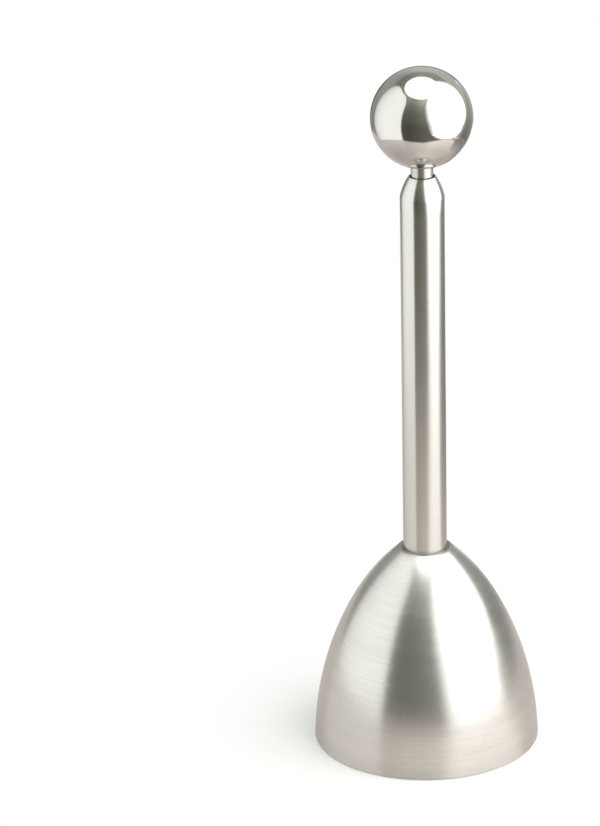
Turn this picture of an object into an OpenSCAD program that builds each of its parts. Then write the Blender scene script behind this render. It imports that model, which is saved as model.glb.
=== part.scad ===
// Topper: a spring-driven striker in a tube handle that stands on a sharp-rimmed bell.
// The ball is pulled up against the spring and let go, and the striker knocks on the anvil.
// The origin is the centre of the circle that the bell's rim stands on. +Z runs up the handle.

/* [Bell] */
// Outer diameter of the rim
rim_d = 41.6; // [38:0.1:46]
// Thickness of the sheet
wall_t = 0.8; // [0.5:0.05:1.2]
// Lean of the wall from upright at the rim, in degrees
rim_lean = 1.4; // [0:0.1:3]
// Radius of the arc of the bell's side
side_arc_r = 58.6; // [54:0.1:66]
// Lean of the wall where the side's arc meets the crown's arc, in degrees
crown_lean = 28.6; // [24:0.1:32]
// Radius of the arc of the bell's crown
crown_arc_r = 40; // [34:0.5:50]
// Width of the flat edge that the rim stands on
rim_land = 0.3; // [0.15:0.05:0.4]
// Height of the bevel inside the rim
rim_bevel_h = 1.2; // [0.6:0.1:2]
// Size of the small chamfer on the rim's outer corner
rim_break = 0.15; // [0.05:0.05:0.25]

/* [Collar round the tube's foot] */
// Width of the collar from the tube outwards
collar_w = 1; // [0.8:0.05:1.1]
// Height of the collar above the crown's edge
collar_rise = 0.22; // [0.1:0.02:0.3]
// Height of the upright edge where the collar stands on the crown
collar_edge = 0.06; // [0.02:0.02:0.1]
// Radius of the collar's rounded top
collar_round_r = 0.6; // [0.55:0.05:0.8]
// Depth of the socket below the collar's top
socket_depth = 0.8; // [0.5:0.1:1.2]

/* [Tube handle] */
// Outer diameter of the tube
tube_d = 8; // [7.8:0.1:9]
// Wall of the tube
tube_wall = 0.5; // [0.4:0.05:0.6]
// Length of the tube from its foot to the tip of its nose
tube_len = 72.1; // [68:0.1:90]
// Length of the swaged nose
nose_len = 3.75; // [3:0.05:4]
// Lean of the nose where it leaves the straight tube, in degrees
nose_lean = 13; // [8:0.5:14]
// Radius of the arc of the nose
nose_arc_r = 12; // [11:0.5:18]
// Diameter of the hole in the nose
nose_hole_d = 4.6; // [4.5:0.05:4.7]

/* [Ball and rod] */
// Diameter of the ball
ball_d = 18.25; // [15:0.05:24]
// Depth of the tapped hole in the ball
ball_hole_h = 8; // [5:0.5:12]
// Length of rod that shows between the nose and the ball
neck_len = 1.65; // [1:0.05:6]
// Diameter of the rod
rod_d = 4; // [3.5:0.05:4]
// Chamfer on both ends of the rod
rod_chamfer = 0.4; // [0.1:0.05:0.8]

/* [Striker and anvil] */
// Length of the striker
striker_len = 10; // [8:0.5:16]
// Depth of the tapped hole in the striker
striker_hole_h = 6; // [4:0.5:7]
// Length of the anvil plug
plug_len = 10; // [8:0.5:16]
// Depth of the tapped hole in the anvil plug
plug_hole_h = 7; // [6:0.5:7]
// Chamfer on the ends of the striker and the plug
edge_chamfer = 0.4; // [0.2:0.05:0.8]

/* [Guide bush and spring] */
// Length of the guide bush
bush_len = 8; // [5:0.5:12]
// Chamfer at both mouths of the bush
bush_chamfer = 0.3; // [0.1:0.05:0.6]
// Thickness of the loose washer under the spring
spring_seat_t = 0.5; // [0.3:0.1:1]
// Outer diameter of the spring
spring_d = 6.5; // [6.4:0.05:6.6]
// Diameter of the spring's wire
wire_d = 0.8; // [0.6:0.05:0.85]
// Number of coils
coils = 20; // [12:1:22]
// Number of closely wound coils at each end
end_coils = 1.5; // [1:0.5:3]
// Gap between the closely wound coils
end_coil_gap = 0.45; // [0.45:0.01:0.6]

/* [Screw and washers] */
// Diameter of the screw's shank
screw_d = 3; // [2.5:0.1:3.2]
// Length of the screw's shank
screw_len = 8; // [7:0.5:8]
// Diameter of the screw's head
head_d = 5.6; // [5.2:0.1:6]
// Height of the screw's head
head_h = 2.2; // [1.9:0.1:2.6]
// Radius of the head's domed face
head_dome_r = 4.2; // [3.6:0.1:6]
// Length of each arm of the cross recess, from tip to tip
recess_len = 3; // [2.4:0.1:3.2]
// Width of each arm of the cross recess
recess_w = 0.7; // [0.5:0.05:0.9]
// Depth of the cross recess
recess_h = 1.3; // [0.8:0.1:1.5]
// Outer diameter of the flat washer
washer_d = 7; // [6.2:0.1:8]
// Thickness of the flat washer
washer_t = 0.5; // [0.3:0.1:0.8]
// Outer diameter of the lock washer
lock_d = 6; // [5.4:0.1:6.2]
// Thickness of the lock washer
lock_t = 0.8; // [0.6:0.1:1]
// Width of the slit in the lock washer
slit_w = 0.6; // [0.3:0.1:1]
// Slant of the slit from upright, in degrees
slit_slant = 30; // [0:5:40]

/* [Fits, measured on the radius] */
// Between pieces that are pressed together
press_gap = 0.01; // [0.01:0.01:0.03]
// Between a thread and its tapped hole
thread_gap = 0.02; // [0.01:0.01:0.05]
// Between the rod and what slides or turns on it
running_gap = 0.06; // [0.03:0.01:0.08]
// Between the striker or the spring's washer and the tube
bore_gap = 0.1; // [0.08:0.01:0.15]
// Between the screw and the holes it passes through
screw_gap = 0.1; // [0.05:0.05:0.2]
// Between each end of the spring and its seat
spring_end_gap = 0.05; // [0.02:0.01:0.1]

/* [Hidden] */

$fn = 96;
arc_fn = 256;         // facets of the long arcs where they are drawn as a mesh
over = 1;             // how far a cut runs past the face that it opens
coil_rings = 8;       // rings of points in each coil of the spring
wire_sides = 6;       // corners of the wire's section

// Heights and radii of the bell
rim_r = rim_d / 2;
tube_r = tube_d / 2;
socket_r = tube_r + press_gap;
collar_r = socket_r + collar_w;
side_c = [rim_r, 0] - along(side_arc_r, rim_lean);
crown_c = side_c + along(side_arc_r - crown_arc_r, crown_lean);
crown_z = arc_z(crown_c, crown_arc_r, collar_r);
collar_z = crown_z + collar_rise;
seat_z = collar_z - socket_depth;
ceiling_z = seat_z - wall_t;

// Heights along the handle, from the tube's foot up
bore_r = tube_r - tube_wall;
tip_z = seat_z + tube_len;
shoulder_z = tip_z - nose_len;
nose_c = [tube_r, shoulder_z] - along(nose_arc_r, nose_lean);
bush_top_z = arc_z(nose_c, nose_arc_r - tube_wall, bore_r);
bush_z = bush_top_z - bush_len;
anvil_z = seat_z + plug_len;
striker_top_z = anvil_z + striker_len;
spring_z = striker_top_z + spring_seat_t;
spring_len = bush_z - spring_z;

// The ball and the rod
ball_r = ball_d / 2;
rod_r = rod_d / 2;
ball_z = tip_z + neck_len + ball_r;
ball_mouth_z = ball_z - sqrt(pow(ball_r, 2) - pow(rod_r, 2));
rod_z = striker_top_z - striker_hole_h;
rod_top_z = ball_mouth_z + ball_hole_h;

// The screw and its washers, from the bell's ceiling down
screw_r = screw_d / 2;
lock_z = ceiling_z - washer_t;
head_z = lock_z - lock_t;

// The spring's centre line
wire_r = wire_d / 2;
coil_r = spring_d / 2 - wire_r;
end_pitch = wire_d + end_coil_gap;
wire_rise = spring_len - wire_d - 2 * spring_end_gap;
free_pitch = (wire_rise - 2 * end_coils * end_pitch) / (coils - 2 * end_coils);
coil_line = [for (i = [0 : coils * coil_rings]) coil_point(i / coil_rings)];

// A step of length r towards a wall that leans by a degrees
function along(r, a) = r * [cos(a), sin(a)];

// Height at which the upper part of a circle about c, of radius r, passes the radius x
function arc_z(c, r, x) = c.y + sqrt(pow(r, 2) - pow(x - c.x, 2));

// Radius at which the right part of a circle about c, of radius r, passes the height z
function arc_r(c, r, z) = c.x + sqrt(pow(r, 2) - pow(z - c.y, 2));

// Height of the wire's centre above the spring's lower end after t turns
function coil_rise(t) = end_pitch * (min(t, end_coils) + max(0, t - coils + end_coils))
    + free_pitch * min(max(t - end_coils, 0), coils - 2 * end_coils);

// Centre of the wire after t turns
function coil_point(t) = [coil_r * cos(360 * t), coil_r * sin(360 * t),
                          spring_z + spring_end_gap + wire_r + coil_rise(t)];

// Corner k of the wire's section at ring i
function wire_corner(i, k) = coil_line[i] + wire_r * [
    cos(360 * k / wire_sides) * cos(360 * i / coil_rings),
    cos(360 * k / wire_sides) * sin(360 * i / coil_rings),
    sin(360 * k / wire_sides)];

// Least space between the wire and itself, half a turn or more further on
least_gap = min([for (i = [0 : len(coil_line) - 1], j = [i + coil_rings / 2 : len(coil_line) - 1])
                 norm(coil_line[j] - coil_line[i])]) - wire_d;
echo(spring_least_gap = least_gap);
echo(pull_before_coils_close = spring_len - coils * wire_d);

// Half section of a round plug with both ends chamfered, standing at z
module plug_section(r, z, h, chamfer) {
    polygon([[0, z], [r - chamfer, z], [r, z + chamfer],
             [r, z + h - chamfer], [r - chamfer, z + h], [0, z + h]]);
}

// Half section of a band from radius r0 to r1 and from height z0 to z1
module band(r0, r1, z0, z1) {
    translate([r0, z0]) square([r1 - r0, z1 - z0]);
}

// Half section of the bell as a solid, drawn in by inset, from height z0 to z1. The two arcs
// meet smoothly on the line through their centres, which leans with the crown.
module bell_section(inset, z0, z1) {
    intersection() {
        translate(side_c) rotate(crown_lean) {
            intersection() {
                circle(r = side_arc_r - inset, $fn = arc_fn);
                band(0, side_arc_r, -side_arc_r, 0);
            }
            translate([side_arc_r - crown_arc_r, 0]) intersection() {
                circle(r = crown_arc_r - inset, $fn = arc_fn);
                band(0, crown_arc_r, 0, crown_arc_r);
            }
        }
        band(0, rim_r, z0, z1);
    }
}

// Half section of the collar: a small upright edge on the crown, under a rounded top
module collar_section() {
    drop = collar_round_r - collar_rise;
    reach = sqrt(pow(collar_round_r, 2) - pow(drop + collar_edge, 2));
    intersection() {
        translate([collar_r - reach, crown_z - drop]) circle(r = collar_round_r);
        band(socket_r, collar_r, crown_z - drop, collar_z);
    }
}

// Half section of what the bevel and the chamfer take from the rim
module rim_cut_section() {
    land_r = rim_r - rim_break;
    edge = [land_r - rim_land, 0];
    bevel_end = [arc_r(side_c, side_arc_r - wall_t, rim_bevel_h), rim_bevel_h];
    past_end = bevel_end + (bevel_end - edge) / 2;
    polygon([[0, -over], [edge.x, -over], edge, past_end, [0, past_end.y]]);
    polygon([[land_r, -over], [land_r + over, -over], [land_r + over, over], [land_r, 0]]);
}

// Half section of the tube as a solid, drawn in by inset, from height z0 to z1
module tube_section(inset, z0, z1) {
    intersection() {
        union() {
            translate(nose_c) circle(r = nose_arc_r - inset);
            band(0, tube_r, z0, nose_c.y);
        }
        band(0, tube_r - inset, z0, z1);
    }
}

// Polished ball with the tapped hole for the rod
module ball_knob() {
    color("whitesmoke")
    difference() {
        translate([0, 0, ball_z]) sphere(r = ball_r);
        translate([0, 0, ball_z - ball_r - over])
            cylinder(r = rod_r + thread_gap, h = rod_top_z - ball_z + ball_r + over);
    }
}

// Plain round rod from the striker up into the ball
module pull_rod() {
    color("silver")
    rotate_extrude() plug_section(rod_r, rod_z, rod_top_z - rod_z, rod_chamfer);
}

// Tube with its upper end swaged to a nose
module handle_tube() {
    color("lightgray")
    rotate_extrude()
    difference() {
        tube_section(0, seat_z, tip_z);
        tube_section(tube_wall, seat_z - over, tip_z);
        band(0, nose_hole_d / 2, shoulder_z, tip_z + over);
    }
}

// Bell with its sharp rim, the collar and socket for the tube, and the screw's hole
module dome() {
    color("gainsboro")
    rotate_extrude()
    difference() {
        union() {
            bell_section(0, 0, crown_z + collar_edge / 2);
            collar_section();
        }
        bell_section(wall_t, -over, ceiling_z);
        rim_cut_section();
        band(0, socket_r, seat_z, collar_z + over);
        band(0, screw_r + screw_gap, ceiling_z - over, seat_z + over);
    }
}

// Brass bush under the nose, which guides the rod and holds the spring down
module guide_bush() {
    hole_r = rod_r + running_gap;
    mouth_r = hole_r + bush_chamfer;
    color("darkkhaki")
    rotate_extrude()
    difference() {
        plug_section(bore_r - press_gap, bush_z, bush_len, bush_chamfer);
        band(0, hole_r, bush_z - over, bush_top_z + over);
        polygon([[0, bush_z - over], [mouth_r, bush_z - over], [mouth_r, bush_z],
                 [hole_r, bush_z + bush_chamfer], [0, bush_z + bush_chamfer]]);
        polygon([[0, bush_top_z + over], [mouth_r, bush_top_z + over], [mouth_r, bush_top_z],
                 [hole_r, bush_top_z - bush_chamfer], [0, bush_top_z - bush_chamfer]]);
    }
}

// Compression spring, one unbroken wire with a flat cap at each end
module return_spring() {
    rings = len(coil_line);
    last = (rings - 1) * wire_sides;
    sides = [for (i = [0 : rings - 2], k = [0 : wire_sides - 1])
        let (a = i * wire_sides + k, b = i * wire_sides + (k + 1) % wire_sides)
        each [[a, a + wire_sides, b], [b, a + wire_sides, b + wire_sides]]];
    caps = [for (k = [1 : wire_sides - 2])
        each [[0, k, k + 1], [last, last + k + 1, last + k]]];
    color("dimgray")
    polyhedron([for (i = [0 : rings - 1], k = [0 : wire_sides - 1]) wire_corner(i, k)],
               concat(sides, caps));
}

// Loose washer between the spring and the striker
module spring_seat() {
    color("silver")
    rotate_extrude() band(rod_r + running_gap, bore_r - bore_gap, striker_top_z, spring_z);
}

// Striker on the rod's lower end
module striker() {
    color("slategray")
    difference() {
        rotate_extrude() plug_section(bore_r - bore_gap, anvil_z, striker_len, edge_chamfer);
        translate([0, 0, rod_z]) cylinder(r = rod_r + thread_gap, h = striker_hole_h + over);
    }
}

// Plug in the tube's foot, which the striker knocks on and the screw holds
module anvil_plug() {
    color("darkgray")
    difference() {
        rotate_extrude() plug_section(bore_r - press_gap, seat_z, plug_len, edge_chamfer);
        translate([0, 0, seat_z - over]) cylinder(r = screw_r + thread_gap, h = plug_hole_h + over);
    }
}

// Flat washer against the bell's ceiling
module flat_washer() {
    color("lightgray")
    rotate_extrude() band(screw_r + screw_gap, washer_d / 2, lock_z, ceiling_z);
}

// Split lock washer
module lock_washer() {
    color("gray")
    difference() {
        rotate_extrude() band(screw_r + screw_gap, lock_d / 2, head_z, lock_z);
        translate([lock_d / 2, 0, (head_z + lock_z) / 2]) rotate([slit_slant, 0, 0])
            cube([lock_d, slit_w, lock_t * 4], center = true);
    }
}

// Pan head screw with a cross recess, its head down
module dome_screw() {
    color("lightsteelblue")
    difference() {
        union() {
            rotate_extrude()
            intersection() {
                band(0, head_d / 2, head_z - head_h, head_z);
                translate([0, head_z - head_h + head_dome_r]) circle(r = head_dome_r);
            }
            translate([0, 0, head_z]) cylinder(r = screw_r, h = screw_len);
        }
        for (turn = [0, 90])
            rotate([0, 0, turn])
            translate([-recess_len / 2, -recess_w / 2, head_z - head_h - over])
            cube([recess_len, recess_w, recess_h + over]);
    }
}

ball_knob();
pull_rod();
handle_tube();
dome();
guide_bush();
return_spring();
spring_seat();
striker();
anvil_plug();
flat_washer();
lock_washer();
dome_screw();
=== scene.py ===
"""Looks of a spring-driven topper: a ball on a rod, a slim tube handle and a sharp-rimmed bell.

The classes below hold the sizes of the pieces in millimetres, build their meshes in metres and
dress them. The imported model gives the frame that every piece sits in: +Z runs up the handle,
and the origin is the centre of the circle that the bell's rim stands on.
"""
import logging
import math
from dataclasses import dataclass, field
from enum import Enum
from typing import Sequence

import bmesh
import bpy
from mathutils import Matrix, Vector


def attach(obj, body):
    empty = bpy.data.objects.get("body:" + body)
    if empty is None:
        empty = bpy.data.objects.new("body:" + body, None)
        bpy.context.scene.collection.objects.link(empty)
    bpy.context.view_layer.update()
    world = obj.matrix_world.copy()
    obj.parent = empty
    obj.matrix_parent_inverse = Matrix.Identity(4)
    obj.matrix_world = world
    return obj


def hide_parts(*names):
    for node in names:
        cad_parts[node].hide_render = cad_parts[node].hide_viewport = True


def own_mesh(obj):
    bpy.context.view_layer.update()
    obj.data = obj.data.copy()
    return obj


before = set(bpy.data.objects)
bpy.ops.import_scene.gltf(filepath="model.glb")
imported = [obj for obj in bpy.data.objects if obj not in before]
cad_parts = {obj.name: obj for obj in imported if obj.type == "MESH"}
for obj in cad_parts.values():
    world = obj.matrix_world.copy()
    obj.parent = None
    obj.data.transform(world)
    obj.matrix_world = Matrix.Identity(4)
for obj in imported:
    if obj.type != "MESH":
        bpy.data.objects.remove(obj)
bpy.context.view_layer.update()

LOG = logging.getLogger("topper")

MM = 0.001
# Points within this many metres of each other become one.
MERGE = 1e-7
# An edge that turns by more than this is shaded sharp.
SHARP_ANGLE = math.radians(28)
# A thread has this many rows of points to its pitch.
THREAD_ROWS = 8

Point = tuple[float, float]
Color = tuple[float, float, float]
Shape = bpy.types.Object
Socket = bpy.types.NodeSocket
Station = tuple[float, float, float, float]


class Body(Enum):
    """The bodies that the pieces ride on."""

    HANDLE = "handle"
    SPRING_END = "spring_end"
    PLUNGER = "plunger"


class Grain(Enum):
    """The way that the fine lines of a finish run: how often they change around and up a piece."""

    BRUSHED = (0.9, 3600.0)
    FINE = (1.6, 9000.0)
    TURNED = (0.7, 5200.0)
    POLISHED = (9.0, 900.0)


# ---------------------------------------------------------------------------------------------
# Node trees


class TreeMaker:
    """A node tree under construction, with short ways to add nodes and to join them."""

    def __init__(self, tree: bpy.types.NodeTree) -> None:
        """Starts on a tree."""
        self.tree = tree

    @classmethod
    def fresh(cls, owner: bpy.types.ID) -> "TreeMaker":
        """Empties the tree of a material or a world and starts on it.

        Args:
            owner: the material or the world.

        Returns:
            The maker.
        """
        owner.use_nodes = True
        owner.node_tree.nodes.clear()
        return cls(owner.node_tree)

    def add(self, kind: str, feeds: dict[str | int, object] | None = None,
            **settings: object) -> bpy.types.Node:
        """Adds a node and feeds its inputs.

        Args:
            kind: the node's type name.
            feeds: the source of each input that is fed.
            **settings: properties of the node and their values.

        Returns:
            The new node.
        """
        node = self.tree.nodes.new(kind)
        for name, value in settings.items():
            setattr(node, name, value)
        for key, source in (feeds or {}).items():
            self.feed(node.inputs[key], source)
        return node

    def feed(self, socket: Socket, source: object) -> None:
        """Joins a source to an input socket, or sets the socket's own value.

        Args:
            socket: the input socket.
            source: an output socket, a node that stands for its first output, or a plain value.
        """
        if isinstance(source, bpy.types.Node):
            source = source.outputs[0]
        if isinstance(source, bpy.types.NodeSocket):
            self.tree.links.new(source, socket)
        else:
            socket.default_value = source

    def math(self, operation: str, *terms: object) -> Socket:
        """Adds a Math node and gives its output."""
        return self.add("ShaderNodeMath", dict(enumerate(terms)), operation=operation).outputs[0]

    def plus(self, first: object, second: object) -> Socket:
        """Adds two values."""
        return self.math("ADD", first, second)

    def minus(self, first: object, second: object) -> Socket:
        """Takes the second value from the first."""
        return self.math("SUBTRACT", first, second)

    def times(self, first: object, second: object) -> Socket:
        """Multiplies two values."""
        return self.math("MULTIPLY", first, second)

    def over(self, first: object, second: object) -> Socket:
        """Divides the first value by the second."""
        return self.math("DIVIDE", first, second)

    def spread(self, value: object, low: object, high: object, to_low: object = 0.0,
               to_high: object = 1.0, smooth: bool = True) -> Socket:
        """Adds a Map Range node.

        Args:
            value: what is mapped.
            low: the value that becomes to_low.
            high: the value that becomes to_high.
            to_low: the result at low.
            to_high: the result at high.
            smooth: whether the step between them is smooth.

        Returns:
            The mapped value, clamped.
        """
        terms = dict(enumerate((value, low, high, to_low, to_high)))
        kind = "SMOOTHSTEP" if smooth else "LINEAR"
        return self.add("ShaderNodeMapRange", terms, interpolation_type=kind).outputs[0]

    def join(self, x: object, y: object, z: object) -> Socket:
        """Makes a vector from its three parts."""
        return self.add("ShaderNodeCombineXYZ", {0: x, 1: y, 2: z}).outputs[0]

    def split(self, vector: object) -> tuple[Socket, ...]:
        """Takes a vector apart into its three parts."""
        return tuple(self.add("ShaderNodeSeparateXYZ", {0: vector}).outputs)

    def around(self, angle: object, radius: object, height: object) -> Socket:
        """Gives the place at an angle about the Z axis.

        Args:
            angle: the angle in radians.
            radius: the distance from the axis.
            height: the height.

        Returns:
            The place.
        """
        return self.join(self.times(radius, self.math("COSINE", angle)),
                         self.times(radius, self.math("SINE", angle)), height)

    def reach(self, place: object) -> Socket:
        """Gives the distance of a place from the Z axis."""
        x, y, _ = self.split(place)
        return self.math("SQRT", self.plus(self.times(x, x), self.times(y, y)))

    def noise(self, vector: object, w: object, scale: object = 1.0, detail: float = 0.0,
              roughness: float = 0.5) -> Socket:
        """Adds a four-dimensional Noise Texture node.

        Args:
            vector: the first three coordinates.
            w: the fourth coordinate.
            scale: the noise's scale.
            detail: its number of octaves.
            roughness: the weight of the finer octaves.

        Returns:
            The noise, from 0 to 1.
        """
        return self.add("ShaderNodeTexNoise", {
            "Vector": vector, "W": w, "Scale": scale, "Detail": detail,
            "Roughness": roughness}, noise_dimensions="4D").outputs["Fac"]

    def socket(self, name: str, kind: str, default: float | None = None,
               is_output: bool = False) -> bpy.types.NodeTreeInterfaceSocket:
        """Adds a socket to the tree's interface.

        Args:
            name: the socket's name.
            kind: its short type, such as Float.
            default: its default value, where it has one.
            is_output: whether it is an output.

        Returns:
            The interface socket.
        """
        made = self.tree.interface.new_socket(
            name=name, in_out="OUTPUT" if is_output else "INPUT", socket_type="NodeSocket" + kind)
        if default is not None:
            made.default_value = default
        return made


class ShapeTree:
    """A Geometry Nodes tree that a mesh object is run through once."""

    def __init__(self, name: str, numbers: dict[str, float | int]) -> None:
        """Makes the tree with a geometry input, its number inputs and a material input.

        Args:
            name: the tree's name.
            numbers: each number input and its default value.
        """
        self.maker = TreeMaker(bpy.data.node_groups.new(name, "GeometryNodeTree"))
        self.maker.socket("Geometry", "Geometry", is_output=True)
        self.maker.socket("Geometry", "Geometry")
        self.sockets = {
            key: self.maker.socket(key, "Int" if isinstance(value, int) else "Float", value)
            for key, value in numbers.items()}
        self.sockets["Material"] = self.maker.socket("Material", "Material")
        self.given = self.maker.add("NodeGroupInput").outputs

    def close(self, geometry: Socket) -> None:
        """Ends the tree in smooth shading, Realize Instances and Set Material.

        Args:
            geometry: the finished geometry.
        """
        maker = self.maker
        smooth = maker.add("GeometryNodeSetShadeSmooth", {"Geometry": geometry})
        real = maker.add("GeometryNodeRealizeInstances", {"Geometry": smooth})
        dress = maker.add("GeometryNodeSetMaterial", {
            "Geometry": real, "Material": self.given["Material"]})
        maker.add("NodeGroupOutput", {0: dress})

    def run(self, name: str, points: Sequence[Vector], material: bpy.types.Material,
            **numbers: float | int) -> Shape:
        """Runs points through the tree and keeps the result as a plain mesh.

        Args:
            name: the new object's name.
            points: the points that the tree is given.
            material: the material that it sets.
            **numbers: values of its number inputs, with _ for each space.

        Returns:
            The finished object.
        """
        mesh = bpy.data.meshes.new(name + "_points")
        mesh.from_pydata(points, [(i, i + 1) for i in range(len(points) - 1)], [])
        shape = link(name, mesh)
        modifier = shape.modifiers.new("shape", "NODES")
        modifier.node_group = self.maker.tree
        modifier[self.sockets["Material"].identifier] = material
        for key, value in numbers.items():
            modifier[self.sockets[key.replace("_", " ")].identifier] = value
        return keep_result(shape, modifier)


class LatheTree(ShapeTree):
    """Turns a half section about the Z axis, and cuts a thread where one is asked for."""

    THREAD_FLANK = (0.14, 0.84)
    RUNOUT_PITCHES = 1.5
    WALL_MARGIN = 1e-5

    def __init__(self) -> None:
        """Builds the tree."""
        super().__init__("turned_piece", {
            "Segments": 192, "Thread Radius": 1.0, "Thread Depth": 0.0, "Pitch": 1.0,
            "Thread Below": -1.0, "Thread Above": 1.0})
        maker, given = self.maker, self.given
        rows = maker.add("GeometryNodeAttributeDomainSize",
                         {0: given["Geometry"]}).outputs["Point Count"]
        grid = maker.add("GeometryNodeMeshGrid", {
            "Vertices X": maker.plus(given["Segments"], 1.0), "Vertices Y": rows})
        index = maker.add("GeometryNodeInputIndex").outputs[0]
        sample = maker.add("GeometryNodeSampleIndex", {
            "Geometry": given["Geometry"], "Value": maker.add("GeometryNodeInputPosition"),
            "Index": maker.math("FLOORED_MODULO", index, rows)},
            data_type="FLOAT_VECTOR", domain="POINT")
        radius, _, height = maker.split(sample.outputs["Value"])
        turn = maker.over(maker.math("FLOOR", maker.over(index, rows)), given["Segments"])
        radius = maker.minus(radius, self._thread(radius, height, turn))
        place = maker.around(maker.times(turn, math.tau), radius, height)
        move = maker.add("GeometryNodeSetPosition", {
            "Geometry": grid.outputs["Mesh"], "Position": place})
        merge = maker.add("GeometryNodeMergeByDistance", {"Geometry": move, "Distance": MERGE})
        self.close(merge.outputs[0])

    def _thread(self, radius: object, height: object, turn: object) -> Socket:
        """Works out how deep the thread is cut at a point.

        Args:
            radius: the point's radius before the cut.
            height: its height.
            turn: its place around the axis, as a share of a turn.

        Returns:
            The depth of the cut there.
        """
        maker, given = self.maker, self.given
        phase = maker.math("FRACT", maker.minus(maker.over(height, given["Pitch"]), turn))
        wave = maker.times(maker.math("ABSOLUTE", maker.minus(phase, 0.5)), 2.0)
        cut = maker.spread(wave, *self.THREAD_FLANK, smooth=False)
        runout = maker.times(given["Pitch"], self.RUNOUT_PITCHES)
        below = maker.spread(height, maker.minus(given["Thread Below"], runout),
                             given["Thread Below"], 1.0, 0.0)
        above = maker.spread(height, given["Thread Above"],
                             maker.plus(given["Thread Above"], runout))
        on_wall = maker.math("GREATER_THAN", radius,
                             maker.minus(given["Thread Radius"], self.WALL_MARGIN))
        depth = maker.times(given["Thread Depth"], on_wall)
        return maker.times(maker.times(depth, cut), maker.math("MAXIMUM", below, above))


class CoilTree(ShapeTree):
    """Winds a wire into a compression spring with closely wound ends."""

    def __init__(self) -> None:
        """Builds the tree."""
        super().__init__("wound_spring", {
            "Steps": 480, "Steps A Turn": 24.0, "Turns": 20.0, "End Turns": 1.5,
            "End Pitch": 0.001, "Free Pitch": 0.002, "Coil Radius": 0.003,
            "Wire Radius": 0.0004, "Wire Sides": 10, "Foot": 0.0})
        maker, given = self.maker, self.given
        steps = maker.add("GeometryNodeResampleCurve", {
            "Curve": maker.add("GeometryNodeCurvePrimitiveLine"),
            "Count": maker.plus(given["Steps"], 1.0)})
        turn = maker.over(maker.add("GeometryNodeInputIndex"), given["Steps A Turn"])
        last = maker.minus(given["Turns"], given["End Turns"])
        in_ends = maker.plus(maker.math("MINIMUM", turn, given["End Turns"]),
                             maker.math("MAXIMUM", maker.minus(turn, last), 0.0))
        rise = maker.plus(maker.times(in_ends, given["End Pitch"]),
                          maker.times(maker.minus(turn, in_ends), given["Free Pitch"]))
        place = maker.around(maker.times(turn, math.tau), given["Coil Radius"],
                             maker.plus(rise, given["Foot"]))
        move = maker.add("GeometryNodeSetPosition", {"Geometry": steps, "Position": place})
        circle = maker.add("GeometryNodeCurvePrimitiveCircle", {
            "Resolution": given["Wire Sides"], "Radius": given["Wire Radius"]})
        wire = maker.add("GeometryNodeCurveToMesh", {
            "Curve": move, "Profile Curve": circle, "Fill Caps": True})
        self.close(wire.outputs[0])


# ---------------------------------------------------------------------------------------------
# Meshes


def link(name: str, data: bpy.types.ID) -> Shape:
    """Makes an object and links it to the scene.

    Args:
        name: the object's name.
        data: its mesh, camera or lamp.

    Returns:
        The object.
    """
    made = bpy.data.objects.new(name, data)
    bpy.context.scene.collection.objects.link(made)
    return made


def tidy_mesh(shape: Shape) -> Shape:
    """Merges doubles, turns every face outwards and keeps the shape's true edges sharp.

    Args:
        shape: an object with a closed mesh.

    Returns:
        The same object.
    """
    work = bmesh.new()
    work.from_mesh(shape.data)
    bmesh.ops.remove_doubles(work, verts=work.verts, dist=MERGE)
    bmesh.ops.dissolve_degenerate(work, edges=work.edges, dist=MERGE)
    bmesh.ops.recalc_face_normals(work, faces=work.faces)
    for face in work.faces:
        face.smooth = True
    work.to_mesh(shape.data)
    work.free()
    shape.data.set_sharp_from_angle(angle=SHARP_ANGLE)
    return shape


def keep_result(shape: Shape, modifier: bpy.types.Modifier) -> Shape:
    """Puts the result of an object's only modifier in place of its mesh.

    Args:
        shape: the object.
        modifier: the modifier.

    Returns:
        The same object, with the result tidied.
    """
    given = shape.data
    evaluated = shape.evaluated_get(bpy.context.evaluated_depsgraph_get())
    finished = bpy.data.meshes.new_from_object(evaluated)
    shape.modifiers.remove(modifier)
    shape.data = finished
    bpy.data.meshes.remove(given)
    finished.name = shape.name
    return tidy_mesh(shape)


def mesh_object(name: str, points: Sequence[Sequence[float]], faces: Sequence[Sequence[int]],
                material: bpy.types.Material) -> Shape:
    """Makes an object from points in millimetres.

    Args:
        name: the object's name.
        points: the points.
        faces: the faces, as indices of points.
        material: the object's material.

    Returns:
        The object, linked to the scene.
    """
    mesh = bpy.data.meshes.new(name)
    mesh.from_pydata([Vector(p) * MM for p in points], [], faces)
    mesh.materials.append(material)
    return link(name, mesh)


def wall_faces(steps: int, count: int) -> list[tuple[int, ...]]:
    """Gives the faces of a wall between closed rings of points.

    Args:
        steps: the number of steps from ring to ring.
        count: the number of points in each ring.

    Returns:
        The faces.
    """
    return [(i * count + k, i * count + (k + 1) % count,
             (i + 1) * count + (k + 1) % count, (i + 1) * count + k)
            for i in range(steps) for k in range(count)]


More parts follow.
